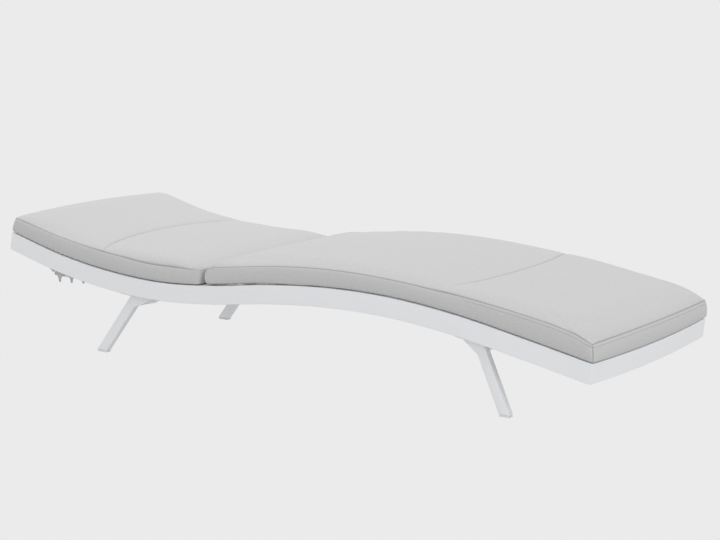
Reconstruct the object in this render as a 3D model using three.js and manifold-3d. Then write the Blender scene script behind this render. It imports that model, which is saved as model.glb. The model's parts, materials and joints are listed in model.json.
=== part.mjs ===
// Reclining sun lounger: a wave-shaped aluminium bed with two cushions and a back that lifts.
// Millimetres, +X towards the foot end, +Y to the far side, +Z up, origin on the floor under the middle.
//
// Most pieces are drawn on a straight bed and then bent onto the wave. On the straight bed
// s runs along the bed from the head end, y across it, and v up from the underside of the side rails.
import * as THREE from "three";
import { mergeVertices } from "three/addons/utils/BufferGeometryUtils.js";
import Module from "manifold-3d";

const wasm = await Module();
wasm.setup();

// ---- driving dimensions ----
const LENGTH = 2004; // head corner to foot corner, along the underside
const WIDTH = 700;
const END_BOW = 14; // how far the end rails bow outward at mid width
// Height of the side rails' underside at every tenth of the length.
const RAIL_WAVE = [293, 240, 207, 194, 205, 228, 240, 235, 211, 173, 132];
const RAIL_HEIGHT = 54;
const RAIL_THICK = 25;
const RAIL_IN = WIDTH / 2 - RAIL_THICK;
const RAIL_STEPS = 40;
const WALL = 2; // wall of every hollow section
const GAP = 0.3; // between touching pieces
const STRIP_STEP = 50; // between points on a strip that follows the wave
const END_LEAN = 0.09; // the end rails stand a little more upright than square to the wave

const SLAT_WIDTH = 46;
const SLAT_THICK = 10;
const SLAT_TOP = RAIL_HEIGHT + 2.7; // slats stand just proud of the rails
const SLAT_PITCH = 108;
const SEAT_START = 792;
const CROSS_TUBES = { hinge: 796, seat: 1290 }; // near edges of the fixed cross tubes
const CROSS_TUBE_HIGH = 20;

const TUBE = 25; // back frame tube, square
const TUBE_SIDE_GAP = 4; // between side rail and back frame
const TUBE_OUT = RAIL_IN - TUBE_SIDE_GAP;
const TUBE_IN = TUBE_OUT - TUBE;
const TUBE_LOW = RAIL_HEIGHT - TUBE;

const HINGE_S = 766;
const HINGE_V = RAIL_HEIGHT - TUBE / 2;
const BACK_START = 31;
const BACK_END = HINGE_S + 12;
const BACK_TAIL_TUBE_S = 716;
const BACK_SLATS = 6;
const BACK_SLAT_GAP = 22; // between the first or last slat and the tube next to it
const BACK_LIFT_DEG = 54.65; // highest of the back's positions
const BOLT_RADIUS = 5;
const BOLT_HEAD_RADIUS = 9;
const BOLT_HEAD_THICK = 5;
const WASHER_RADIUS = 11;
const REST_S = 330; // blocks that the lowered back rests on
const REST_LONG = 40;
const REST_HIGH = 12;

const CUSHION_LOW = SLAT_TOP + GAP;
const CUSHION_THICK = 65;
const CUSHION_ROUND = 13;
const CUSHION_FOOT_INSET = 6;
const CUSHION_FOOT_LEAN = 0.19; // the foot end of the cushion stands plumb
const CUSHION_HEAD_INSET = -2;
const CUSHION_BOW_RAMP = 120; // length over which the bowed end straightens out
const BACK_CUSHION_END = 757;
const SEAT_CUSHION_START = 779;
const FOLD_GAP = 2;
const LIFT_CLEAR = 8; // room between the lifted back cushion and the seat cushion

const RACK_THICK = 5;
const RACK_OUT = TUBE_IN - GAP;
const RACK_NOSE_X = 111; // x values of the racks and the prop are measured from the head corner
const RACK_NOSE_Z = 243;
const RACK_HEEL_Z = 216;
const RACK_HEEL_LONG = 22;
const RACK_PITCH = 48.5;
const TEETH = 4;
const TOOTH_TIP_Z = 197;
const TIP_RISE = 1.2; // the tips rise with the square of their number
const TOOTH_TIP_HALF = 1.75;
const FIRST_TOOTH_X = 153;
const NOTCH_RADIUS = 22.5;
const NOTCH_ROOT_Z = 222;

const ROD_RADIUS = 6;
const ROD_REST = [133, 221];
const ROD_HALF = RACK_OUT - RACK_THICK - 1;
const ARM_THICK = 6;
const ARM_DEEP = 18;
const ARM_OUT = ROD_HALF - 6.7;
const ARM_TO_LUG = 1;
const PIVOT = [546, 222];
const PIN_RADIUS = 4;
const PIN_HEAD_RADIUS = 7;
const PIN_HEAD_THICK = 3;
const LUG_WIDE = 16;
const LUG_RADIUS = 12;

const LEG_WIDE = 30;
const LEG_THICK = 20;
const LEG_OUT = WIDTH / 2 - 44;
const GLIDE_HIGH = 6;
const PLATE_THICK = 5;
const PLATE_IN = 262;
const PLATE_OUT = WIDTH / 2 - 12;
const PLATE_GAP = 0.5; // the welded plates lie flat under a slightly curved rail
const BAR_HIGH = 40; // the crossbars are deep beside the legs
const BAR_LIP = 11; // and thin at their free edge
const BAR_BACK = 16; // how far a crossbar reaches behind the leg's edge
// bar is the crossbar's free edge; facing says on which side of the leg it is.
const HEAD_LEG = { foot: 331, top: 477, bar: 530, plate: [440, 528], facing: 1 };
const FOOT_LEG = { foot: 1735, top: 1652, bar: 1607, plate: [1602, 1694], facing: -1 };

// ---- materials ----
const paint = new THREE.MeshStandardMaterial({ color: "#e6e8ec", roughness: 0.42, metalness: 0.1 });
const steel = new THREE.MeshStandardMaterial({ color: "#a9abad", roughness: 0.35, metalness: 0.9 });
const plastic = new THREE.MeshStandardMaterial({ color: "#d8d8d6", roughness: 0.6, metalness: 0 });
const cloth = new THREE.MeshStandardMaterial({ color: "#c6c6c4", roughness: 0.95, metalness: 0 });

// ---- the wave ----
const waveCurve = new THREE.CatmullRomCurve3(
  RAIL_WAVE.map((z, i) => new THREE.Vector3((i * LENGTH) / (RAIL_WAVE.length - 1), 0, z)),
  false,
  "catmullrom",
  0.5,
);

// Underside height and unit normal of the side rail at station s; straight on past both ends.
function waveAt(s) {
  const t = THREE.MathUtils.clamp(s / LENGTH, 0, 1);
  const p = waveCurve.getPoint(t);
  const d = waveCurve.getTangent(t);
  const run = Math.hypot(d.x, d.z);
  return { z: p.z + ((s - t * LENGTH) * d.z) / d.x, nx: -d.z / run, nz: d.x / run };
}

// The whole bed reaches from the bowed head rail's lower edge to the bowed foot rail's upper edge.
const footReach = LENGTH + END_BOW + (waveAt(LENGTH).nx - END_LEAN) * RAIL_HEIGHT;
const originX = (footReach - END_BOW) / 2;
const onWave = (s, v) => {
  const w = waveAt(s);
  return [s + w.nx * v - originX, w.z + w.nz * v];
};
const outlineOnWave = (outline) => outline.map(([s, v]) => onWave(s, v));

function bend(geometry) {
  const p = geometry.attributes.position;
  for (let i = 0; i < p.count; i++) {
    const [x, z] = onWave(p.getX(i), p.getZ(i));
    p.setXYZ(i, x, p.getY(i), z);
  }
  return geometry;
}

// ---- shapes ----
const toPoints = (outline) => outline.map(([x, z]) => new THREE.Vector2(x, z));

// A closed outline in the X-Z plane, extruded between two y values, in one or more steps.
function acrossBed(outline, yLow, yHigh, options = {}) {
  const shape = outline instanceof THREE.Shape ? outline : new THREE.Shape(toPoints(outline));
  const bevel = options.bevel ?? 0;
  const geometry = new THREE.ExtrudeGeometry(shape, {
    depth: yHigh - yLow - 2 * bevel,
    steps: options.steps ?? 1,
    curveSegments: options.curveSegments ?? 6,
    bevelEnabled: bevel > 0,
    bevelThickness: bevel,
    bevelSize: bevel,
    bevelOffset: -bevel,
    bevelSegments: 2,
  });
  geometry.rotateX(Math.PI / 2); // shape y becomes z, the depth runs to -y
  geometry.translate(0, yHigh - bevel, 0);
  return geometry;
}

const rectangle = (x0, x1, z0, z1) => [[x0, z0], [x1, z0], [x1, z1], [x0, z1]];

// A strip of the straight bed, with points every so often so that it takes up the wave.
function strip(s0, s1, v0, v1) {
  const parts = Math.ceil((s1 - s0) / STRIP_STEP);
  const row = Array.from({ length: parts + 1 }, (_, i) => s0 + ((s1 - s0) * i) / parts);
  return [...row.map((s) => [s, v0]), ...row.reverse().map((s) => [s, v1])];
}

// A hollow rectangle as a Shape with its bore as a hole.
function hollow(x0, x1, z0, z1) {
  const shape = new THREE.Shape(toPoints(rectangle(x0, x1, z0, z1)));
  const bore = rectangle(x0 + WALL, x1 - WALL, z0 + WALL, z1 - WALL);
  shape.holes.push(new THREE.Path(toPoints(bore.reverse())));
  return shape;
}

// A convex outline moved inward by a wall's thickness.
function inset(outline, wall) {
  const edges = outline.map(([x, z], i) => {
    const [nextX, nextZ] = outline[(i + 1) % outline.length];
    const run = Math.hypot(nextX - x, nextZ - z);
    const [nx, nz] = [(z - nextZ) / run, (nextX - x) / run];
    return { nx, nz, reach: nx * x + nz * z + wall };
  });
  return edges.map((edge, i) => {
    const before = edges[(i + edges.length - 1) % edges.length];
    const cross = before.nx * edge.nz - before.nz * edge.nx;
    return [
      (before.reach * edge.nz - edge.reach * before.nz) / cross,
      (edge.reach * before.nx - before.reach * edge.nx) / cross,
    ];
  });
}

// A hollow section in the Y-Z plane, run along the bed from s0 to s1.
function alongBed(y0, y1, v0, v1, s0, s1, steps) {
  const options = { depth: s1 - s0, steps, bevelEnabled: false };
  const geometry = new THREE.ExtrudeGeometry(hollow(y0, y1, v0, v1), options);
  geometry.rotateX(Math.PI / 2);
  geometry.rotateZ(Math.PI / 2);
  geometry.translate(s0, 0, 0);
  return geometry;
}

// A round bar or stepped pin along y, from a list of [radius, y] steps.
function turned(steps, x, z, sides = 20) {
  const profile = [new THREE.Vector2(0, steps[0][1])];
  steps.forEach(([r, y]) => profile.push(new THREE.Vector2(r, y)));
  profile.push(new THREE.Vector2(0, steps[steps.length - 1][1]));
  const geometry = new THREE.LatheGeometry(profile, sides);
  geometry.translate(x, 0, z);
  return geometry;
}

// ---- cutting holes ----
function solidOf(geometry) {
  const bare = geometry.clone().deleteAttribute("normal").deleteAttribute("uv");
  const merged = mergeVertices(bare, 1e-3);
  const triVerts = new Uint32Array(merged.index.array);
  const vertProperties = merged.attributes.position.array;
  return new wasm.Manifold(new wasm.Mesh({ numProp: 3, vertProperties, triVerts }));
}

function cut(geometry, tool) {
  const mesh = solidOf(geometry).subtract(solidOf(tool)).getMesh();
  const result = new THREE.BufferGeometry();
  const positions = new Float32Array(mesh.vertProperties);
  result.setAttribute("position", new THREE.BufferAttribute(positions, 3));
  result.setIndex(new THREE.BufferAttribute(new Uint32Array(mesh.triVerts), 1));
  return result;
}

// ---- the object ----
const lounger = new THREE.Group();

function add(name, geometry, material) {
  const mesh = new THREE.Mesh(geometry, material);
  mesh.name = name;
  lounger.add(mesh);
}

const sides = [["left", -1], ["right", 1]];
const spanY = (side, inner, outer) => (side < 0 ? [-outer, -inner] : [inner, outer]);
const bowAt = (y) => END_BOW * (1 - (y / (WIDTH / 2)) ** 2);

// Side rails: hollow, mitred at both ends to meet the end rails.
function sideRail(side) {
  const [y0, y1] = spanY(side, RAIL_IN, WIDTH / 2);
  const geometry = alongBed(y0, y1, 0, RAIL_HEIGHT, 0, LENGTH, RAIL_STEPS);
  const p = geometry.attributes.position;
  for (let i = 0; i < p.count; i++) {
    const s = p.getX(i);
    const mitre = WIDTH / 2 - Math.abs(p.getY(i)) + GAP / 2;
    const lean = END_LEAN * p.getZ(i);
    if (s < 1) p.setX(i, mitre - lean);
    if (s > LENGTH - 1) p.setX(i, LENGTH - mitre - lean);
  }
  return bend(geometry);
}

// End rails: hollow, bowed in plan, mitred at both corners.
function endRail(atFoot) {
  const s0 = atFoot ? LENGTH - RAIL_THICK : 0;
  const section = hollow(s0, s0 + RAIL_THICK, 0, RAIL_HEIGHT);
  const geometry = acrossBed(section, -WIDTH / 2, WIDTH / 2, { steps: 10 });
  const p = geometry.attributes.position;
  const outward = atFoot ? 1 : -1;
  for (let i = 0; i < p.count; i++) {
    const inboard = atFoot ? LENGTH - p.getX(i) : p.getX(i);
    let y = p.getY(i);
    if (Math.abs(y) > WIDTH / 2 - 1) y = Math.sign(y) * (WIDTH / 2 - inboard - GAP / 2);
    p.setXYZ(i, p.getX(i) + outward * bowAt(p.getY(i)) - END_LEAN * p.getZ(i), y, p.getZ(i));
  }
  return bend(geometry);
}

// A cutter for the hinge bolt's hole through the walls between two y values.
function hingeBore(side, radius, inner, outer) {
  const [x, z] = onWave(HINGE_S, HINGE_V);
  return turned(spanY(side, inner, outer).map((y) => [radius, y]), x, z);
}

for (const [name, side] of sides) {
  const bore = hingeBore(side, BOLT_RADIUS + GAP, RAIL_IN - 1, RAIL_IN + WALL + 1);
  add(`side_rail_${name}`, cut(sideRail(side), bore), paint);
}
add("head_rail", endRail(false), paint);
add("foot_rail", endRail(true), paint);

// Fixed cross tubes between the side rails.
const fixedHalf = RAIL_IN - GAP;
for (const [name, s] of Object.entries(CROSS_TUBES)) {
  const section = hollow(s, s + TUBE, 0, CROSS_TUBE_HIGH);
  add(`${name}_cross_tube`, bend(acrossBed(section, -fixedHalf, fixedHalf)), paint);
}

// A row of slats across the bed.
function addSlats(group, count, start, pitch, half) {
  for (let i = 0; i < count; i++) {
    const s = start + i * pitch;
    const section = rectangle(s, s + SLAT_WIDTH, SLAT_TOP - SLAT_THICK, SLAT_TOP);
    const number = String(i + 1).padStart(2, "0");
    add(`${group}_slat_${number}`, bend(acrossBed(section, -half, half)), paint);
  }
}

const seatSlats = Math.floor((LENGTH - RAIL_THICK - SEAT_START - SLAT_WIDTH) / SLAT_PITCH) + 1;
addSlats("seat", seatSlats, SEAT_START, SLAT_PITCH, fixedHalf);

// ---- legs ----
// The underside of the plates and everything at a given v, as a height over the floor.
const plateUnder = -PLATE_THICK - PLATE_GAP - 2 * GAP;
const heightAt = (x, v) => onWave(x + originX, v)[1];

// The corners that a leg and its crossbar share.
function legCorners({ foot, top, bar, facing }) {
  const footX = foot - originX;
  const topX = top - originX;
  const low = GLIDE_HIGH + GAP;
  const lean = (topX - footX) / (heightAt(topX, plateUnder) - low);
  const half = (LEG_WIDE / 2) * Math.hypot(1, lean);
  const edgeX = (z, side) => footX + side * half + lean * (z - low);
  const barX = bar - originX;
  const innerZ = heightAt(topX, plateUnder - BAR_HIGH);
  const inner = [edgeX(innerZ, facing), innerZ];
  const lip = [barX, heightAt(barX, plateUnder - BAR_LIP)];
  return { footX, half, low, edgeX, barX, inner, lip };
}

// A leg is a flat bar that leans. Its foot is cut level, and its head widens into the end of the crossbar.
function legOutline(leg) {
  const { footX, half, low, edgeX, barX, inner, lip } = legCorners(leg);
  const freeX = edgeX(heightAt(leg.top - originX, plateUnder), -leg.facing);
  return [
    [footX + leg.facing * half, low],
    inner,
    lip,
    [barX, heightAt(barX, plateUnder)],
    [freeX, heightAt(freeX, plateUnder)],
    [footX - leg.facing * half, low],
  ];
}

// A crossbar is a folded tube, deep beside the legs and thin at its free edge.
function crossbarSection(leg) {
  const { barX, inner, lip } = legCorners(leg);
  const backX = inner[0] - leg.facing * BAR_BACK;
  const outline = [
    [barX, heightAt(barX, plateUnder)],
    [backX, heightAt(backX, plateUnder)],
    inner,
    lip,
  ];
  if (leg.facing < 0) outline.reverse();
  const shape = new THREE.Shape(toPoints(outline));
  shape.holes.push(new THREE.Path(toPoints(inset(outline, WALL).reverse())));
  return shape;
}

// A glide is a low plastic shoe under the cut end of a leg.
function glide(leg, side) {
  const { footX, half } = legCorners(leg);
  const [y0, y1] = spanY(side, LEG_OUT - LEG_THICK + 1, LEG_OUT - 1);
  return acrossBed(rectangle(footX - half + 1, footX + half - 1, 0, GLIDE_HIGH), y0, y1);
}

const barHalf = LEG_OUT - LEG_THICK - GAP;
for (const [end, leg] of [["head", HEAD_LEG], ["foot", FOOT_LEG]]) {
  add(`${end}_leg_crossbar`, acrossBed(crossbarSection(leg), -barHalf, barHalf), paint);
  for (const [name, side] of sides) {
    const [l0, l1] = spanY(side, LEG_OUT - LEG_THICK, LEG_OUT);
    add(`${end}_leg_${name}`, acrossBed(legOutline(leg), l0, l1), paint);
    const [p0, p1] = spanY(side, PLATE_IN, PLATE_OUT);
    const plate = strip(leg.plate[0], leg.plate[1], -PLATE_THICK - PLATE_GAP, -PLATE_GAP);
    add(`${end}_leg_plate_${name}`, acrossBed(outlineOnWave(plate), p0, p1), paint);
    add(`${end}_leg_glide_${name}`, glide(leg, side), plastic);
  }
}

// ---- back frame ----
for (const [name, side] of sides) {
  const [y0, y1] = spanY(side, TUBE_IN, TUBE_OUT);
  const tube = bend(alongBed(y0, y1, TUBE_LOW, RAIL_HEIGHT, BACK_START, BACK_END, 18));
  const bore = hingeBore(side, BOLT_RADIUS + GAP + 0.1, TUBE_IN - 1, TUBE_OUT + 1);
  add(`back_tube_${name}`, cut(tube, bore), paint);
}
const backHalf = TUBE_IN - GAP;
for (const [name, s] of Object.entries({ head: BACK_START, tail: BACK_TAIL_TUBE_S })) {
  const section = hollow(s, s + TUBE, TUBE_LOW, SLAT_TOP - GAP);
  add(`back_${name}_tube`, bend(acrossBed(section, -backHalf, backHalf)), paint);
}
const firstSlat = BACK_START + TUBE + BACK_SLAT_GAP;
const lastSlat = BACK_TAIL_TUBE_S - BACK_SLAT_GAP - SLAT_WIDTH;
addSlats("back", BACK_SLATS, firstSlat, (lastSlat - firstSlat) / (BACK_SLATS - 1), backHalf);

// ---- hinge ----
const [hingeX, hingeZ] = onWave(HINGE_S, HINGE_V);

// Lathe profiles run along y; the side sign turns them so that they point to their own rail.
function pinAcross(steps, x, z, side) {
  const ordered = side > 0 ? steps : steps.map(([r, y]) => [r, -y]).reverse();
  return turned(ordered, x, z);
}

// Bored plates: a shape with round holes, cut by the shape itself.
function bored(shape, holes) {
  for (const [x, z, r] of holes) {
    const hole = new THREE.Path();
    hole.absarc(x, z, r, 0, 2 * Math.PI, true);
    shape.holes.push(hole);
  }
  return shape;
}

// The bolt's head bears inside the back frame, its end is held in the rail's inner wall.
for (const [name, side] of sides) {
  const bolt = [
    [BOLT_HEAD_RADIUS, TUBE_IN - BOLT_HEAD_THICK],
    [BOLT_HEAD_RADIUS, TUBE_IN - GAP],
    [BOLT_RADIUS, TUBE_IN - GAP],
    [BOLT_RADIUS, RAIL_IN + WALL + 4],
  ];
  add(`hinge_bolt_${name}`, pinAcross(bolt, hingeX, hingeZ, side), steel);
  const ring = new THREE.Shape();
  ring.absarc(hingeX, hingeZ, WASHER_RADIUS, 0, 2 * Math.PI, false);
  bored(ring, [[hingeX, hingeZ, BOLT_RADIUS + GAP]]);
  const [w0, w1] = spanY(side, TUBE_OUT + GAP, RAIL_IN - GAP);
  add(`hinge_washer_${name}`, acrossBed(ring, w0, w1, { curveSegments: 10 }), plastic);
  const [r0, r1] = spanY(side, TUBE_IN + 4, RAIL_IN - GAP);
  const block = rectangle(REST_S, REST_S + REST_LONG, TUBE_LOW - REST_HIGH, TUBE_LOW - GAP);
  add(`rest_block_${name}`, acrossBed(outlineOnWave(block), r0, r1), plastic);
}

// ---- rack plates under the back, with round notches between pointed teeth ----
const [pivotX, pivotZ] = [PIVOT[0] - originX, PIVOT[1]];
const [rodX, rodZ] = [ROD_REST[0] - originX, ROD_REST[1]];

function rackOutline() {
  const nose = RACK_NOSE_X - originX;
  const first = FIRST_TOOTH_X - originX;
  const last = first + (TEETH - 1) * RACK_PITCH;
  const heel = last + RACK_HEEL_LONG;
  const tipAt = (i) => TOOTH_TIP_Z + TIP_RISE * i * i;
  const middle = NOTCH_ROOT_Z - NOTCH_RADIUS;
  const arcStart = (i) => Math.asin(Math.max(0, (tipAt(i) - middle) / NOTCH_RADIUS));
  const topOf = (x) => onWave(x + originX, RAIL_HEIGHT - SLAT_THICK)[1];
  const shape = new THREE.Shape();
  shape.moveTo(nose, topOf(nose));
  shape.lineTo(nose, RACK_NOSE_Z);
  shape.quadraticCurveTo(nose + 1, RACK_NOSE_Z - 10, nose + 14, RACK_NOSE_Z - 15);
  shape.lineTo(rodX - 7, rodZ + 4);
  shape.absarc(rodX, rodZ, ROD_RADIUS + 2, Math.PI * 0.85, Math.PI * 0.15, true);
  shape.quadraticCurveTo(first - 4, TOOTH_TIP_Z + 15, first - TOOTH_TIP_HALF, TOOTH_TIP_Z);
  for (let i = 0; i < TEETH - 1; i++) {
    const x = first + i * RACK_PITCH;
    shape.lineTo(x + TOOTH_TIP_HALF, tipAt(i));
    shape.absarc(x + RACK_PITCH / 2, middle, NOTCH_RADIUS, Math.PI - arcStart(i), arcStart(i + 1), true);
  }
  const lastTip = tipAt(TEETH - 1);
  shape.lineTo(last - TOOTH_TIP_HALF, lastTip);
  shape.lineTo(last + 10, lastTip);
  shape.quadraticCurveTo(heel, lastTip + 2, heel, RACK_HEEL_Z);
  const steps = 6;
  for (let i = 0; i < steps; i++) {
    const x = heel + ((nose - heel) * i) / steps;
    shape.lineTo(x, topOf(x));
  }
  return shape;
}

for (const [name, side] of sides) {
  const [y0, y1] = spanY(side, RACK_OUT - RACK_THICK, RACK_OUT);
  add(`rack_${name}`, acrossBed(rackOutline(), y0, y1, { curveSegments: 8 }), steel);
}

// ---- prop: two arms and a rod, turning on pins in lugs behind the head crossbar ----
// A flat arm with round ends, bored for the pin at one end and for the rod at the other.
function armOutline() {
  const along = Math.atan2(rodZ - pivotZ, rodX - pivotX);
  const shape = new THREE.Shape();
  const r = ARM_DEEP / 2;
  shape.absarc(rodX, rodZ, r, along - Math.PI / 2, along + Math.PI / 2, false);
  shape.absarc(pivotX, pivotZ, r, along + Math.PI / 2, along + Math.PI * 1.5, false);
  return bored(shape, [[rodX, rodZ, ROD_RADIUS + GAP], [pivotX, pivotZ, PIN_RADIUS + GAP]]);
}

// A lug is welded to the head crossbar's sloping face and carries the pin.
function lugOutline() {
  const { barX, inner, lip } = legCorners(HEAD_LEG);
  const clear = 1;
  const shape = new THREE.Shape();
  const slope = (lip[1] - inner[1]) / (lip[0] - inner[0]);
  shape.moveTo(inner[0] + LUG_WIDE, inner[1] + LUG_WIDE * slope - clear);
  shape.lineTo(lip[0] + clear + 2, lip[1] - LUG_WIDE / 2);
  shape.lineTo(pivotX + 8, pivotZ - 9);
  shape.absarc(pivotX, pivotZ, LUG_RADIUS, -0.8, 2.3, false);
  shape.lineTo(barX + clear, heightAt(barX, 0));
  shape.lineTo(lip[0] + clear, lip[1] - clear);
  return bored(shape, [[pivotX, pivotZ, PIN_RADIUS + GAP]]);
}

add("prop_rod", turned([[ROD_RADIUS, -ROD_HALF], [ROD_RADIUS, ROD_HALF]], rodX, rodZ), steel);
for (const [name, side] of sides) {
  const [a0, a1] = spanY(side, ARM_OUT - ARM_THICK, ARM_OUT);
  add(`prop_arm_${name}`, acrossBed(armOutline(), a0, a1, { curveSegments: 10 }), paint);
  const [l0, l1] = spanY(side, ARM_OUT + ARM_TO_LUG, ARM_OUT + ARM_TO_LUG + PLATE_THICK);
  add(`prop_lug_${name}`, acrossBed(lugOutline(), l0, l1, { curveSegments: 10 }), paint);
  const inner = ARM_OUT - ARM_THICK - 1;
  const pin = [
    [PIN_HEAD_RADIUS, inner - PIN_HEAD_THICK],
    [PIN_HEAD_RADIUS, inner],
    [PIN_RADIUS, inner],
    [PIN_RADIUS, ARM_OUT + ARM_TO_LUG + PLATE_THICK + 0.5],
  ];
  add(`prop_pin_${name}`, pinAcross(pin, pivotX, pivotZ, side), steel);
}

// ---- cushions ----
// A plain padded block on the wave, with softened edges and bowed ends.
function cushion(outline, bowHead, bowFoot) {
  const half = WIDTH / 2 - 1;
  const options = { bevel: CUSHION_ROUND, steps: 4 };
  const geometry = acrossBed(outlineOnWave(outline), -half, half, options);
  const p = geometry.attributes.position;
  for (let i = 0; i < p.count; i++) {
    const s = p.getX(i) + originX;
    const nearHead = bowHead ? THREE.MathUtils.clamp(1 - s / CUSHION_BOW_RAMP, 0, 1) : 0;
    const nearFoot = bowFoot ? THREE.MathUtils.clamp(1 - (LENGTH - s) / CUSHION_BOW_RAMP, 0, 1) : 0;
    const shift = (nearFoot - nearHead) * bowAt(p.getY(i));
    const { nx, nz } = waveAt(s);
    p.setXYZ(i, p.getX(i) + shift * nz, p.getY(i), p.getZ(i) - shift * nx);
  }
  return geometry;
}

const cushionTop = CUSHION_LOW + CUSHION_THICK;
const seatEnd = LENGTH - CUSHION_FOOT_INSET;
const seatOutline = strip(SEAT_CUSHION_START, seatEnd, CUSHION_LOW, cushionTop);
for (const corner of seatOutline)
  if (corner[0] > seatEnd - 1) corner[0] -= CUSHION_FOOT_LEAN * (corner[1] - CUSHION_LOW);
add("seat_cushion", cushion(seatOutline, false, true), cloth);

// The back cushion ends in a slope, so that its foot end clears the seat cushion when it lifts.
// The wedge in front of the slope is soft filling that folds away, in a piece of its own.
const liftSin = Math.sin(THREE.MathUtils.degToRad(BACK_LIFT_DEG));
const liftCos = Math.cos(THREE.MathUtils.degToRad(BACK_LIFT_DEG));
const slopeTop = HINGE_S + (LIFT_CLEAR - (cushionTop - HINGE_V) * liftSin) / liftCos;
const backOutline = strip(CUSHION_HEAD_INSET, slopeTop, CUSHION_LOW, cushionTop);
backOutline.splice(backOutline.length / 2, 0, [BACK_CUSHION_END, CUSHION_LOW]);
add("back_cushion", cushion(backOutline, true, false), cloth);

const foldOutline = [
  [BACK_CUSHION_END + FOLD_GAP, CUSHION_LOW + FOLD_GAP],
  [BACK_CUSHION_END + FOLD_GAP, cushionTop],
  [slopeTop + FOLD_GAP * 2, cushionTop],
];
const foldHalf = WIDTH / 2 - 1 - CUSHION_ROUND / 2;
add("back_cushion_fold", acrossBed(outlineOnWave(foldOutline), -foldHalf, foldHalf), cloth);

export default lounger;
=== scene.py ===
"""Reclining sun lounger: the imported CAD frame, with sewn cushions and finished materials around it."""
import json
import math
from dataclasses import dataclass

import bmesh
import bpy
import numpy as np
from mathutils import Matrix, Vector


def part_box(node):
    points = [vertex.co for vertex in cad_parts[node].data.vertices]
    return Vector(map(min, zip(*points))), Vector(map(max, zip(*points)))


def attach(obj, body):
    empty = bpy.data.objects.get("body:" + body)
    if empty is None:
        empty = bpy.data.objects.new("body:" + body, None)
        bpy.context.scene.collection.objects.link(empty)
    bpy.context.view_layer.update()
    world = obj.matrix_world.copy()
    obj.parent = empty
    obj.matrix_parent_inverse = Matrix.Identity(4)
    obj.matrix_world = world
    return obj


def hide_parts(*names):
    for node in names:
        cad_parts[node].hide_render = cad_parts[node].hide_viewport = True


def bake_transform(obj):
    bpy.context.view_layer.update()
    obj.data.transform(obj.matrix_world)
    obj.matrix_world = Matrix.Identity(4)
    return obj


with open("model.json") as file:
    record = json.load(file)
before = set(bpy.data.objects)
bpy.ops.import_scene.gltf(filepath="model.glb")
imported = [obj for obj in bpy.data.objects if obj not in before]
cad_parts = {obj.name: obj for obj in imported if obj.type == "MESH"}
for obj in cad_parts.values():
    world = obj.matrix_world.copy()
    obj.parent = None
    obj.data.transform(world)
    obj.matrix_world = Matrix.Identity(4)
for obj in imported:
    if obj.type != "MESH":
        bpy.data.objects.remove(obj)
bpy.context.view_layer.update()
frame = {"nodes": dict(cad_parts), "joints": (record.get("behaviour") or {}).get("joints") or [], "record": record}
nodes = frame["nodes"]
body_of_node = {n: b for b, names in frame["record"]["behaviour"]["bodies"].items() for n in names}
hinge = next(j for j in frame["joints"] if j["name"] == "back_recline")
MM = 0.001


# ---------------------------------------------------------------- camera
AZIMUTH, ELEVATION = 34.08, 10.01
DISTANCE = 5.3
LENS, SENSOR = 89.7, 36
AIM = (0.046, 0.033, 0.2747)


def add_camera():
    camera = bpy.data.objects.new("camera", bpy.data.cameras.new("camera"))
    camera.data.lens = LENS
    camera.data.sensor_width = SENSOR
    a, e = math.radians(AZIMUTH), math.radians(ELEVATION)
    back = Vector((math.sin(a) * math.cos(e), -math.cos(a) * math.cos(e), math.sin(e)))
    camera.location = Vector(AIM) + back * DISTANCE
    camera.rotation_euler = (math.pi / 2 - e, 0, a)
    bpy.context.scene.collection.objects.link(camera)
    bpy.context.scene.camera = camera


add_camera()


# ---------------------------------------------------------------- the wave, read from the side rail
class Wave:
    """Maps places on a straight bed onto the wave.

    u is the x of the rail's underside, y runs across the bed, and v is the height above the underside.
    """

    def __init__(self, rail):
        co = np.array([vertex.co[:] for vertex in rail.data.vertices])
        outer = co[co[:, 1] < co[:, 1].min() + 1e-5][:, (0, 2)]
        outer = np.unique(np.round(outer, 6), axis=0)
        pairs = outer.reshape(-1, 2, 2)[1:-1]
        pairs = np.take_along_axis(pairs, np.argsort(pairs[:, :, 1], axis=1)[:, :, None], axis=1)
        self.low, self.high = pairs[:, 0], pairs[:, 1]
        self.rise = float(np.median(np.linalg.norm(self.high - self.low, axis=1)))

    def _edge(self, edge, u):
        """A smooth curve through the edge's points, straight on past both ends."""
        x = self.low[:, 0]
        step = x[1] - x[0]
        slope = np.gradient(edge, step, axis=0)
        k = np.clip(((u - x[0]) / step).astype(int), 0, len(x) - 2)
        t = (u - x[k]) / step
        inside = np.clip(t, 0, 1)[:, None]
        a, b, da, db = edge[k], edge[k + 1], slope[k] * step, slope[k + 1] * step
        t2, t3 = inside**2, inside**3
        place = (2 * t3 - 3 * t2 + 1) * a + (t3 - 2 * t2 + inside) * da
        place = place + (3 * t2 - 2 * t3) * b + (t3 - t2) * db
        beyond = (t[:, None] - inside) * np.where(t[:, None] > 1, db, da)
        return place + beyond

    def place(self, u, y, v):
        """Points in the row frame, from arrays in metres."""
        u, y, v = np.broadcast_arrays(*(np.asarray(q, float) for q in (u, y, v)))
        shape = u.shape
        low, high = self._edge(self.low, u.ravel()), self._edge(self.high, u.ravel())
        xz = low + (high - low) * (v.ravel() / self.rise)[:, None]
        return np.stack([xz[:, 0], y.ravel(), xz[:, 1]], axis=1).reshape(*shape, 3)


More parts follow.
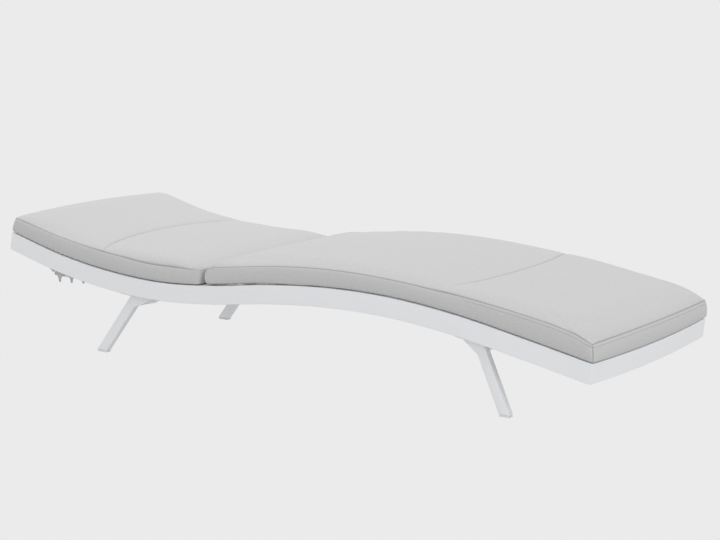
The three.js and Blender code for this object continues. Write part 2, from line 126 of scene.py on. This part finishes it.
wave = Wave(nodes["side_rail_left"])
RAIL_HEIGHT = wave.rise
left_box, right_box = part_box("side_rail_left"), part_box("side_rail_right")
HALF = right_box[1].y
RAIL_THICK = HALF - right_box[0].y
FOOT_OVERHANG = 5.8 * MM  # how far the rail's upper edge stands past its lower one at the foot end
U_HEAD, U_FOOT = round(left_box[0].x, 3), round(left_box[1].x - FOOT_OVERHANG, 3)
BOW = U_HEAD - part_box("head_rail")[0].x
END_LEAN = 0.09  # the end rails stand a little more upright than square to the wave


# ---------------------------------------------------------------- helpers
def new_object(name, mesh):
    obj = bpy.data.objects.new(name, mesh)
    bpy.context.scene.collection.objects.link(obj)
    return obj


def mesh_from(name, points, faces, smooth=True):
    mesh = bpy.data.meshes.new(name)
    mesh.from_pydata([tuple(p) for p in points], [], faces)
    mesh.polygons.foreach_set("use_smooth", [smooth] * len(mesh.polygons))
    mesh.update()
    return mesh


def apply_modifiers(obj):
    """Bakes the modifiers into the mesh."""
    bpy.context.view_layer.update()
    baked = bpy.data.meshes.new_from_object(obj.evaluated_get(bpy.context.evaluated_depsgraph_get()))
    obj.modifiers.clear()
    obj.data = baked
    return obj


def round_edges(obj, width, segments=3):
    """Rounds every sharp edge and keeps the flats flat."""
    bevel = obj.modifiers.new("bevel", "BEVEL")
    bevel.width = width
    bevel.segments = segments
    bevel.limit_method = "ANGLE"
    bevel.angle_limit = math.radians(35)
    bevel.harden_normals = True
    return apply_modifiers(obj)


def smoothstep(t):
    """From 0 to 1 and level at both."""
    t = np.clip(t, 0, 1)
    return t * t * (3 - 2 * t)


def bow(y):
    """How far an end rail stands out at y."""
    return BOW * (1 - (y / HALF) ** 2)


# ---------------------------------------------------------------- materials
class Nodes:
    """A small helper to wire shader nodes."""

    def __init__(self, name):
        self.material = bpy.data.materials.new(name)
        self.material.use_nodes = True
        self.tree = self.material.node_tree
        self.tree.nodes.clear()
        self.shader = self.add("ShaderNodeBsdfPrincipled")
        output = self.add("ShaderNodeOutputMaterial")
        self.link(self.shader.outputs[0], output.inputs[0])

    def add(self, kind, **values):
        node = self.tree.nodes.new(kind)
        for key, value in values.items():
            if hasattr(node, key):
                setattr(node, key, value)
            else:
                node.inputs[key.replace("_", " ")].default_value = value
        return node

    def link(self, a, b):
        self.tree.links.new(a, b)

    def set(self, **values):
        for key, value in values.items():
            self.shader.inputs[key.replace("_", " ")].default_value = value

    def position(self):
        return self.add("ShaderNodeTexCoord").outputs["Object"]

    def noise(self, scale, detail=2.0, source=None):
        node = self.add("ShaderNodeTexNoise", Scale=scale, Detail=detail)
        self.link(source or self.position(), node.inputs["Vector"])
        return node.outputs["Fac"]

    def ramp(self, fac, low, high, at=(0.3, 0.7)):
        node = self.add("ShaderNodeValToRGB")
        node.color_ramp.elements[0].position, node.color_ramp.elements[1].position = at
        node.color_ramp.elements[0].color, node.color_ramp.elements[1].color = low, high
        self.link(fac, node.inputs["Fac"])
        return node.outputs["Color"]

    def bump(self, height, strength, distance, normal=None):
        node = self.add("ShaderNodeBump", Strength=strength, Distance=distance)
        self.link(height, node.inputs["Height"])
        if normal:
            self.link(normal, node.inputs["Normal"])
        return node.outputs["Normal"]


COOL_WHITE = (0, 0.012, 0.034)  # what the paint adds to grey


def grey(value, tint=(0, 0, 0)):
    return (value + tint[0], value + tint[1], value + tint[2], 1)


def powder_coat():
    n = Nodes("white_powder_coat")
    n.set(Metallic=0.0, IOR=1.45)
    paint = n.ramp(n.noise(9.0, 3.0), grey(0.85, COOL_WHITE), grey(0.87, COOL_WHITE))
    n.link(paint, n.shader.inputs["Base Color"])
    n.link(n.ramp(n.noise(40.0), grey(0.42), grey(0.5)), n.shader.inputs["Roughness"])
    n.link(n.bump(n.noise(900.0, 1.0), 0.12, 0.0004), n.shader.inputs["Normal"])
    return n.material


def brushed_steel():
    n = Nodes("stainless_steel")
    n.set(Metallic=0.6)
    stretch = n.add("ShaderNodeMapping")
    stretch.inputs["Scale"].default_value = (60, 900, 900)
    n.link(n.position(), stretch.inputs["Vector"])
    grain = n.noise(1.0, 3.0, stretch.outputs["Vector"])
    n.link(n.ramp(grain, grey(0.5), grey(0.62)), n.shader.inputs["Base Color"])
    n.link(n.ramp(grain, grey(0.3), grey(0.45)), n.shader.inputs["Roughness"])
    n.link(n.bump(grain, 0.1, 0.0003), n.shader.inputs["Normal"])
    return n.material


def moulded_plastic():
    n = Nodes("plastic")
    n.link(n.ramp(n.noise(30.0, 3.0), grey(0.74), grey(0.78)), n.shader.inputs["Base Color"])
    n.link(n.ramp(n.noise(200.0), grey(0.5), grey(0.62)), n.shader.inputs["Roughness"])
    n.link(n.bump(n.noise(1500.0, 2.0), 0.15, 0.0003), n.shader.inputs["Normal"])
    return n.material


def cushion_fabric():
    n = Nodes("cushion_fabric")
    n.set(Roughness=0.95, Sheen_Weight=0.15, Sheen_Roughness=0.6, IOR=1.35)
    cloth = n.ramp(n.noise(260.0, 2.0), grey(0.55), grey(0.61))
    # The dark grey mixed in by the "seam" attribute is the seams' line, partly thread colour and partly painted
    # shade of their grooves, and painted shade in the creases at the joint's corners.
    sewn = n.add("ShaderNodeMix", data_type="RGBA")
    sewn.inputs["B"].default_value = grey(0.31)
    seam = n.add("ShaderNodeAttribute", attribute_name="seam")
    n.link(seam.outputs["Fac"], sewn.inputs["Factor"])
    n.link(cloth, sewn.inputs["A"])
    n.link(sewn.outputs["Result"], n.shader.inputs["Base Color"])
    weave = n.bump(n.noise(900.0, 2.0), 0.25, 0.0006)
    n.link(n.bump(n.noise(24.0, 3.0), 0.16, 0.006, weave), n.shader.inputs["Normal"])
    return n.material


MATERIALS = {
    "white_powder_coat": powder_coat(), "stainless_steel": brushed_steel(),
    "plastic": moulded_plastic(), "cushion_fabric": cushion_fabric()}


def finish_piece(obj, slot, body=None):
    obj.data.materials.clear()
    obj.data.materials.append(MATERIALS[slot])
    if body:
        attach(obj, body)
    return obj


# ---------------------------------------------------------------- the welded bed frame
LENGTH_STATIONS, END_STATIONS = 61, 25
FRAME_EDGE = 2.2 * MM


def bed_frame():
    """The four rails as one welded loop with mitred corners and softened edges."""
    lengthwise = np.linspace(U_HEAD, U_FOOT, LENGTH_STATIONS)
    across = np.linspace(-1, 1, END_STATIONS)
    outer, inner = [], []

    def side(stations, sign):
        for u in stations:
            inset = min(max(u, U_HEAD + RAIL_THICK), U_FOOT - RAIL_THICK)
            lean = END_LEAN if u in (U_HEAD, U_FOOT) else 0
            outer.append((u, sign * HALF, lean))
            inner.append((inset, sign * (HALF - RAIL_THICK), lean))

    def end(at, outward, fractions):
        for f in fractions:
            outer.append((at + outward * bow(f * HALF), f * HALF, END_LEAN))
            reach = at - outward * RAIL_THICK + outward * bow(f * HALF)
            inner.append((reach, f * (HALF - RAIL_THICK), END_LEAN))

    side(lengthwise, -1)
    end(U_FOOT, 1, across[1:-1])
    side(lengthwise[::-1], 1)
    end(U_HEAD, -1, across[-2:0:-1])
    rows = []
    for loop, v in ((outer, 0), (outer, RAIL_HEIGHT), (inner, RAIL_HEIGHT), (inner, 0)):
        u, y, lean = np.array(loop).T
        rows.append(wave.place(u - lean * v, y, v))
    count = len(outer)
    points = np.concatenate(rows)
    faces = []
    for row in range(4):
        for k in range(count):
            a, b = row * count + k, row * count + (k + 1) % count
            c, d = ((row + 1) % 4) * count + (k + 1) % count, ((row + 1) % 4) * count + k
            faces.append((a, b, c, d))
    obj = new_object("bed_frame", mesh_from("bed_frame", points, faces))
    round_edges(obj, FRAME_EDGE)
    finish_piece(obj, "white_powder_coat", "frame")
    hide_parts("side_rail_left", "side_rail_right", "head_rail", "foot_rail")


bed_frame()


# ---------------------------------------------------------------- softened copies of the hard CAD pieces
SLOT_OF = {s["node"]: s["material_slot"] for s in frame["record"]["subparts"]}
RAILS = ("side_rail_left", "side_rail_right", "head_rail", "foot_rail")
SOFT = ("seat_cushion", "back_cushion", "back_cushion_fold")
ROUND_PIECES = ("prop_rod", "prop_pin", "hinge_bolt", "hinge_washer")
SAME_POINT = 2e-5  # corners closer than this are merged
FINE_EDGE, PLAIN_EDGE = 0.6 * MM, 1.0 * MM


def softened(name, width):
    """A copy of a CAD node with its edges broken, as a painted or moulded piece has them."""
    bm = bmesh.new()
    bm.from_mesh(nodes[name].data)
    bmesh.ops.remove_doubles(bm, verts=bm.verts, dist=SAME_POINT)
    bmesh.ops.dissolve_limit(bm, angle_limit=math.radians(1), verts=bm.verts, edges=bm.edges)
    mesh = bpy.data.meshes.new(name + "_finished")
    bm.to_mesh(mesh)
    bm.free()
    mesh.polygons.foreach_set("use_smooth", [True] * len(mesh.polygons))
    obj = new_object(name + "_finished", mesh)
    round_edges(obj, width, 2)
    finish_piece(obj, SLOT_OF[name], body_of_node[name])
    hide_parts(name)


def hard_pieces():
    """The round pieces are shown as they are, and all the others as softened copies."""
    for name in sorted(nodes):
        if name in RAILS or name in SOFT:
            continue
        if name.startswith(ROUND_PIECES):
            finish_piece(nodes[name], SLOT_OF[name])
        else:
            softened(name, FINE_EDGE if "rack" in name or "glide" in name else PLAIN_EDGE)


hard_pieces()


# ---------------------------------------------------------------- cushions
# u runs along the bed, y across it, and v up from the underside of the side rails.
CUSHION_LOW = 57 * MM
HINGE_LEAN = 3.4 * MM  # how far the wave leans between the rail's underside and the hinge
HINGE_U = hinge["pos_m"][0] + HINGE_LEAN
CUSHION_OVERHANG = 1.5 * MM
CUSHION_HALF = HALF + CUSHION_OVERHANG
PITCH = 14 * MM  # between the lines of a cushion's grid
EDGE_LINES = np.array([0, 1.6, 3.5, 6, 9, 13, 18, 24, 31]) * MM
SEAM_LINES = np.array([-9, -5, -2.2, 0, 2.2, 5, 9]) * MM
SEAM_DEEP = 2.0 * MM  # how far the seam round the top is pulled in
VALLEY_DEEP, VALLEY_WIDE = 1.6 * MM, 7 * MM  # the dip that the cross seam lies in
THREAD_DEEP = 0.9 * MM  # how much deeper the cross seam's stitches are
SWEEP_REACH = 150 * MM  # how far along the bed the cross seam's sweep is felt
GROOVE = 1.6 * MM  # of the second stitched line and the corner seams
EDGE_REACH = 43 * MM  # how far in the top panel's edge is rounded
FILL_RISE, FILL_REACH = 4 * MM, 150 * MM  # the slow rise from the edges to the middle
ARCH_REACH = 70 * MM  # how far in from an end its seam's arch is felt
BOW_REACH = 260 * MM  # how far in from an end the end rail's bow is felt
WAIST = 5.5 * MM  # how far the sides pull in between the corners
LEAN_REACH = 45 * MM  # how far in the bottom panel follows its edge
TUCK = 4 * MM  # how far the bottom panel is drawn in at its edges
BULGE, BAND_IN = 3.2 * MM, 0.6 * MM  # the band stands out in the middle and is pulled in at its seams
LIFT_EDGE, LIFT_FADE = 5 * MM, 4 * MM  # how much of the bottom is lifted with its edge
CREASE_DEEP = 2.4 * MM
CREASE_LONG, CREASE_SIDE = 26 * MM, 32 * MM  # how far the creases reach from the joint and from the side
SWELL = 5 * MM  # how far the filling may lift the cloth between its seams
SWELL_FRAMES = 20
CALM_REACH = 45 * MM  # how far from the joint the swelling is held back


def profile(*points, soft=28 * MM):
    """A smooth curve along a few points, each a distance from the head end and a height, in mm."""
    place, value = np.array(points, float).T * MM
    fine = np.linspace(place[0] - 0.15, place[-1] + 0.15, 900)
    weight = np.exp(-0.5 * ((fine[:, None] - fine[None, :]) / soft) ** 2)
    smooth = weight @ np.interp(fine, place, value) / weight.sum(axis=1)
    return lambda u: np.interp(u - U_HEAD, fine, smooth)


def nowhere(u):
    return np.zeros_like(u)


@dataclass
class Cushion:
    """A boxed cushion on the wave: a crowned top, a band round it and a bottom, joined at seams.

    A pair holds one value for the head end and one for the foot end.
    """

    name: str
    head: float
    foot: float
    bow: tuple  # how much of the end rail's bow each end follows
    corner: tuple  # the corners' radii in plan
    lean: tuple  # how far each end's lower edge stands out past its seam
    cross_seam: float
    seam_sweep: float  # how far the cross seam is drawn to the foot end at the sides
    end_arch: tuple  # how far each end's seam rises in the middle
    seam: object  # the height of the seam round the top, as a function of u
    crown: object  # the height of the top panel over that seam
    seam_fades: bool = False  # whether the cross seam's dark line, thread colour and painted shade of its groove, fades out at the left side
    corner_seam: float = 0.0  # how strong the upright seams at the foot corners are, from 0 to 1
    lift: object = nowhere  # how far the bottom's edge is lifted off the rails
    stitched: object = nowhere  # where the second stitched line runs, from 0 to 1

    def __post_init__(self):
        self.u_lines = self.lines(self.head, self.foot, self.cross_seam)
        self.y_lines = self.lines(-CUSHION_HALF, CUSHION_HALF)
        self.shape_top()
        self.shape_band()
        self.join()

    @staticmethod
    def lines(start, stop, seam=None):
        """Grid lines at an even pitch, and closer together by the edges and the seam."""
        margin = EDGE_LINES[-1] + PITCH
        inner = np.linspace(start + margin, stop - margin, round((stop - start - 2 * margin) / PITCH) + 1)
        groups = [start + EDGE_LINES, stop - EDGE_LINES, inner]
        if seam is not None:
            groups[2] = inner[np.abs(inner - seam) > SEAM_LINES[-1] + 4 * MM]
            groups.append(seam + SEAM_LINES)
        return np.unique(np.round(np.concatenate(groups), 6))

    def plan(self, u, y):
        """Rounds the corners, bows the ends and pulls the sides in between the corners."""
        for at, inward, radius in ((self.head, 1, self.corner[0]), (self.foot, -1, self.corner[1])):
            p = np.clip(1 - (u - at) * inward / radius, 0, 1)
            q = np.clip(1 - (CUSHION_HALF - np.abs(y)) / radius, 0, 1)
            u = u + (p - p * np.sqrt(1 - q**2 / 2)) * radius * inward
            y = y - np.sign(y) * (q - q * np.sqrt(1 - p**2 / 2)) * radius
        shift = self.bow[1] * bow(y) * np.clip(1 - (self.foot - u) / BOW_REACH, 0, 1)
        shift = shift - self.bow[0] * bow(y) * np.clip(1 - (u - self.head) / BOW_REACH, 0, 1)
        beside_seam = np.exp(-(((u - self.cross_seam) / SWEEP_REACH) ** 2))
        shift = shift + self.seam_sweep * beside_seam * (np.abs(y) / HALF) ** 2.2
        waist = 1 - ((2 * u - self.head - self.foot) / (self.foot - self.head)) ** 2
        return u + shift, y * (1 - WAIST / HALF * waist)

    def shape_top(self):
        """The top panel: steep at the edge, then nearly level, with a soft seam across it."""
        u, y = np.meshgrid(self.u_lines, self.y_lines, indexing="ij")
        d_head, d_foot, d_side = u - self.head, self.foot - u, CUSHION_HALF - np.abs(y)
        arch = 1 - (y / CUSHION_HALF) ** 2
        rise = self.end_arch[0] * np.exp(-d_head / ARCH_REACH)
        rise = rise + self.end_arch[1] * np.exp(-d_foot / ARCH_REACH)

        def rounded(distance):
            return np.sqrt(1 - (1 - np.clip(distance / EDGE_REACH, 0, 1)) ** 2)

        def swelling(distance):
            return 1 - np.exp(-distance / FILL_REACH)

        self.u, self.y = self.plan(u, y)
        crown = self.crown(u) * rounded(d_head) * rounded(d_foot) * rounded(d_side)
        crown = crown + FILL_RISE * swelling(d_head) * swelling(d_foot) * swelling(d_side)
        self.top_v = self.seam(u) + rise * arch + crown
        seam_at = self.u_lines[np.abs(self.u_lines - self.cross_seam).argmin()]
        self.seam_line = np.where(u == seam_at, 1.0, 0.0)
        fade = np.clip((y + CUSHION_HALF) / (150 * MM), 0, 1) if self.seam_fades else np.ones_like(y)
        # How dark the cross seam's line is painted: thread colour and painted shade of its groove.
        self.seam_thread_and_painted_shade = 0.75 * fade
        valley = VALLEY_DEEP * np.exp(-(((u - self.cross_seam) / VALLEY_WIDE) ** 2))
        valley = valley + THREAD_DEEP * self.seam_line
        self.seam_dip = (0.3 + 0.7 * fade) * valley * np.clip(d_side / (20 * MM), 0, 1)
        edges = (d_head, d_foot, d_side)
        near_head, near_foot, near_side = (np.clip(1 - d / LEAN_REACH, 0, 1) for d in edges)
        self.base_u = self.u - self.lean[0] * near_head + self.lean[1] * near_foot
        lifted = self.lift(self.u) * (1 - smoothstep((d_side - LIFT_EDGE) / LIFT_FADE))
        self.bottom = np.stack([self.base_u + TUCK * (near_head - near_foot),
                                self.y - np.sign(self.y) * TUCK * near_side, CUSHION_LOW + lifted], -1)

    def shape_band(self):
        """The band between the seam and the tucked-in lower edge, as rows of the same ring of points."""
        nu, ny = self.u.shape
        ring = [(i, 0) for i in range(nu)] + [(nu - 1, j) for j in range(1, ny)]
        ring += [(i, ny - 1) for i in range(nu - 2, -1, -1)] + [(0, j) for j in range(ny - 2, 0, -1)]
        self.ring = np.array(ring).T
        i, j = self.ring
        u, y, seam_v = self.u[i, j], self.y[i, j], self.top_v[i, j]
        low_u, high = self.base_u[i, j], seam_v - CUSHION_LOW - self.lift(self.u[i, j])
        along_u, along_y = np.roll(u, -1) - np.roll(u, 1), np.roll(y, -1) - np.roll(y, 1)
        self.out = np.stack([along_y, -along_u]) / np.hypot(along_u, along_y)
        drops = [np.full_like(high, d * MM) for d in (1.6, 3.5, 6.2, 8, 9.8, 13)]
        drops += [high / 2, high - 11 * MM, high - 4 * MM, high - 1.2 * MM]
        tucks = [0] * 8 + [0.2 * MM, 1.2 * MM]
        second_line = 3
        corner = np.zeros_like(u)
        corner[[nu - 1, nu + ny - 2]] = 1
        self.rows, self.carved_rows, self.threads_and_painted_shade = [], [], []
        stitched = self.stitched(u)
        for number, (drop, tuck) in enumerate(zip(drops, tucks)):
            part = drop / high
            bulge = BULGE * np.sin(np.pi * part) ** 0.7 - BAND_IN - tuck
            place = np.stack([u + (low_u - u) * part, y]) + self.out * bulge
            self.rows.append(np.stack([*place, seam_v - drop], -1))
            # The band's seams are carved in and darkened; the dark is partly thread colour and partly painted
            # shade of the groove.
            sewn = np.maximum(corner * self.corner_seam, 0.45 * stitched if number == second_line else 0)
            self.threads_and_painted_shade.append(sewn)
            self.carved_rows.append(np.stack([*(place - self.out * (GROOVE * sewn)), seam_v - drop], -1))

    def join(self):
        """All the points, plain and with the seams pulled in, and the faces between them."""
        nu, ny = self.u.shape
        i, j = self.ring
        count, size = len(i), nu * ny
        top = np.stack([self.u, self.y, self.top_v], -1)
        carved = top.copy()
        carved[..., 2] -= self.seam_dip
        carved[i, j, :2] -= (self.out * SEAM_DEEP).T
        crease = self.creases(top)
        carved[..., 2] -= CREASE_DEEP * crease
        self.plain = np.concatenate([g.reshape(-1, 3) for g in (top, self.bottom, *self.rows)])
        # Painted into the cloth's colour: the seams' dark lines, partly thread colour and partly painted shade of
        # their grooves, and painted shade in the joint's creases.
        thread_and_painted_shade = self.seam_line * self.seam_thread_and_painted_shade
        thread_and_painted_shade = np.maximum(thread_and_painted_shade, 1.5 * crease)
        thread_and_painted_shade[i, j] = 1.0
        self.thread_and_painted_shade = np.concatenate([thread_and_painted_shade.ravel(), np.zeros(size), *self.threads_and_painted_shade])
        self.carved = np.concatenate([g.reshape(-1, 3) for g in (carved, self.bottom, *self.carved_rows)])
        index = np.arange(size).reshape(nu, ny)
        quads = np.stack([index[:-1, :-1], index[1:, :-1], index[1:, 1:], index[:-1, 1:]], -1).reshape(-1, 4)
        edge = index[i, j]
        levels = [edge] + [2 * size + r * count + np.arange(count) for r in range(len(self.rows))]
        levels.append(edge + size)
        band = [np.stack([low, np.roll(low, -1), np.roll(high, -1), high], -1)
                for high, low in zip(levels, levels[1:])]
        self.faces = np.concatenate([quads, quads[:, ::-1] + size, *band]).tolist()
        self.held = np.concatenate([edge, np.flatnonzero(self.seam_line), size + np.arange(size)]).tolist()

    def creases(self, top):
        """From 0 to 1, small creases where the cloth is gathered at the joint's corners; join carves them into the
        top and paints their shade into the cloth's colour.
        """
        u, y = top[..., 0], top[..., 1]
        d_joint = np.abs(u - (self.foot if self.bow[0] else self.head))
        d_side = CUSHION_HALF - np.abs(y)
        near = np.exp(-d_joint / CREASE_LONG - d_side / CREASE_SIDE) * np.clip(d_side / (4 * MM), 0, 1)
        return near * (0.5 + 0.5 * np.sin(d_side / (2.2 * MM) + d_joint / (6 * MM)))

    def swell(self):
        """The filling's pressure, as a short cloth simulation between the held seams, capped."""
        start = wave.place(*self.plain.T)
        probe = new_object("cloth_probe", mesh_from("cloth_probe", start, self.faces))
        probe.vertex_groups.new(name="held").add(self.held, 1.0, "REPLACE")
        cloth = probe.modifiers.new("cloth", "CLOTH")
        cloth.settings.quality = 4
        cloth.settings.mass = 0.3
        cloth.settings.vertex_group_mass = "held"
        cloth.settings.use_pressure = True
        cloth.settings.uniform_pressure_force = 4
        cloth.settings.effector_weights.gravity = 0
        cloth.collision_settings.use_collision = False
        cloth.point_cache.frame_end = SWELL_FRAMES
        for number in range(1, SWELL_FRAMES + 1):
            bpy.context.scene.frame_set(number)
        moved = np.empty(len(start) * 3)
        probe.evaluated_get(bpy.context.evaluated_depsgraph_get()).data.vertices.foreach_get("co", moved)
        bpy.data.objects.remove(probe)
        bpy.context.scene.frame_set(1)
        shift = moved.reshape(-1, 3) - start
        length = np.maximum(np.linalg.norm(shift, axis=1, keepdims=True), 1e-9)
        joint = self.foot if self.bow[0] else self.head
        calm = 0.25 + 0.75 * smoothstep(np.abs(self.plain[:, :1] - joint) / CALM_REACH)
        return shift * calm * SWELL * np.tanh(length / SWELL) / length

    def make(self):
        points = wave.place(*self.carved.T) + self.swell()
        obj = new_object(self.name, mesh_from(self.name, points, self.faces))
        # The "seam" attribute holds the seams' dark line (thread colour and painted groove shade) and the painted
        # shade in the creases.
        obj.data.attributes.new("seam", "FLOAT", "POINT").data.foreach_set("value", self.thread_and_painted_shade)
        obj.modifiers.new("smooth", "SUBSURF").levels = 1
        return finish_piece(apply_modifiers(obj), "cushion_fabric")


def back_cushion():
    seam = profile((0, 103), (163, 109), (430, 109), (530, 104.7), (670, 104.7), (745, 99))
    crown = profile((0, 15), (160, 10.5), (320, 11.5), (454, 18.5), (560, 23), (670, 22), (740, 8), (760, 3))
    cushion = Cushion(
        "back_cushion_sewn", U_HEAD - 3 * MM, HINGE_U + 2 * MM, bow=(1, 0), corner=(9 * MM, 9 * MM),
        lean=(5 * MM, -12 * MM), cross_seam=U_HEAD + 306 * MM, seam_sweep=62 * MM,
        end_arch=(6 * MM, 2 * MM), seam=seam, crown=crown)
    return cushion.make()


def seat_cushion():
    seam = profile((770, 86), (777, 88), (784, 98), (797, 105), (830, 108), (960, 106.5), (1083, 106.7),
                   (1420, 102.5), (1540, 103), (1619, 106.5), (1780, 114.5), (1860, 116.5), (1935, 114.5),
                   (1975, 105), (1990, 103), soft=9 * MM)
    crown = profile((777, 19), (900, 16), (1200, 15.5), (1500, 13.5), (1800, 14), (1990, 17))
    under_gap = profile((700, 0), (777, 3.5), (950, 3.5), (1080, 0))

    def stitched(u):
        return smoothstep((u - U_HEAD - 1590 * MM) / (60 * MM))

    cushion = Cushion(
        "seat_cushion_sewn", HINGE_U + 12 * MM, U_FOOT - 15 * MM, bow=(0, 1), corner=(10 * MM, 6 * MM),
        lean=(0, 13 * MM), cross_seam=U_HEAD + 1587 * MM, seam_sweep=-30 * MM, end_arch=(6 * MM, 6 * MM),
        seam=seam, crown=crown, seam_fades=True, corner_seam=1.0, lift=under_gap, stitched=stitched)
    return cushion.make()


back_obj, seat_obj = back_cushion(), seat_cushion()
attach(seat_obj, "frame")
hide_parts("seat_cushion")
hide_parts("back_cushion", "back_cushion_fold")
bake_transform(back_obj)


# ---------------------------------------------------------------- stage and light
BACKDROP, UNSEEN_FLOOR = 0.83, 0.58  # what the view sees, and what the floor throws up at the bed


def add_stage():
    """A plain bright floor and sky."""
    size = 40
    mesh = mesh_from("floor", [(-size, -size, 0), (size, -size, 0), (size, size, 0), (-size, size, 0)],
                     [(0, 1, 2, 3)])
    floor = new_object("floor", mesh)
    material = bpy.data.materials.new("floor")
    material.use_nodes = True
    tree = material.node_tree
    tree.nodes.clear()
    output = tree.nodes.new("ShaderNodeOutputMaterial")
    seen, unseen = (tree.nodes.new("ShaderNodeEmission") for _ in range(2))
    seen.inputs["Color"].default_value = grey(BACKDROP)
    unseen.inputs["Color"].default_value = grey(UNSEEN_FLOOR)
    path, mix = tree.nodes.new("ShaderNodeLightPath"), tree.nodes.new("ShaderNodeMixShader")
    tree.links.new(path.outputs["Is Camera Ray"], mix.inputs[0])
    tree.links.new(unseen.outputs[0], mix.inputs[1])
    tree.links.new(seen.outputs[0], mix.inputs[2])
    tree.links.new(mix.outputs[0], output.inputs[0])
    mesh.materials.append(material)
    world = bpy.data.worlds.new("world")
    world.use_nodes = True
    world.node_tree.nodes["Background"].inputs[0].default_value = grey(BACKDROP)
    bpy.context.scene.world = world
    bpy.context.scene.view_settings.view_transform = "Standard"


def area_light(name, place, aim, size, power):
    light = bpy.data.objects.new(name, bpy.data.lights.new(name, "AREA"))
    light.data.shape = "DISK"
    light.data.size = size
    light.data.energy = power
    light.location = place
    light.rotation_euler = (Vector(aim) - Vector(place)).to_track_quat("-Z", "Y").to_euler()
    bpy.context.scene.collection.objects.link(light)


add_stage()
area_light("top_light", (-1.4, 1.2, 3.8), (-0.5, 0, 0.2), 2.4, 36)
area_light("front_light", (1.6, -4.4, 1.5), (-0.1, 0, 0.25), 2.2, 22)
area_light("foot_light", (4.8, -0.4, 1.0), (0.3, 0, 0.25), 1.8, 22)
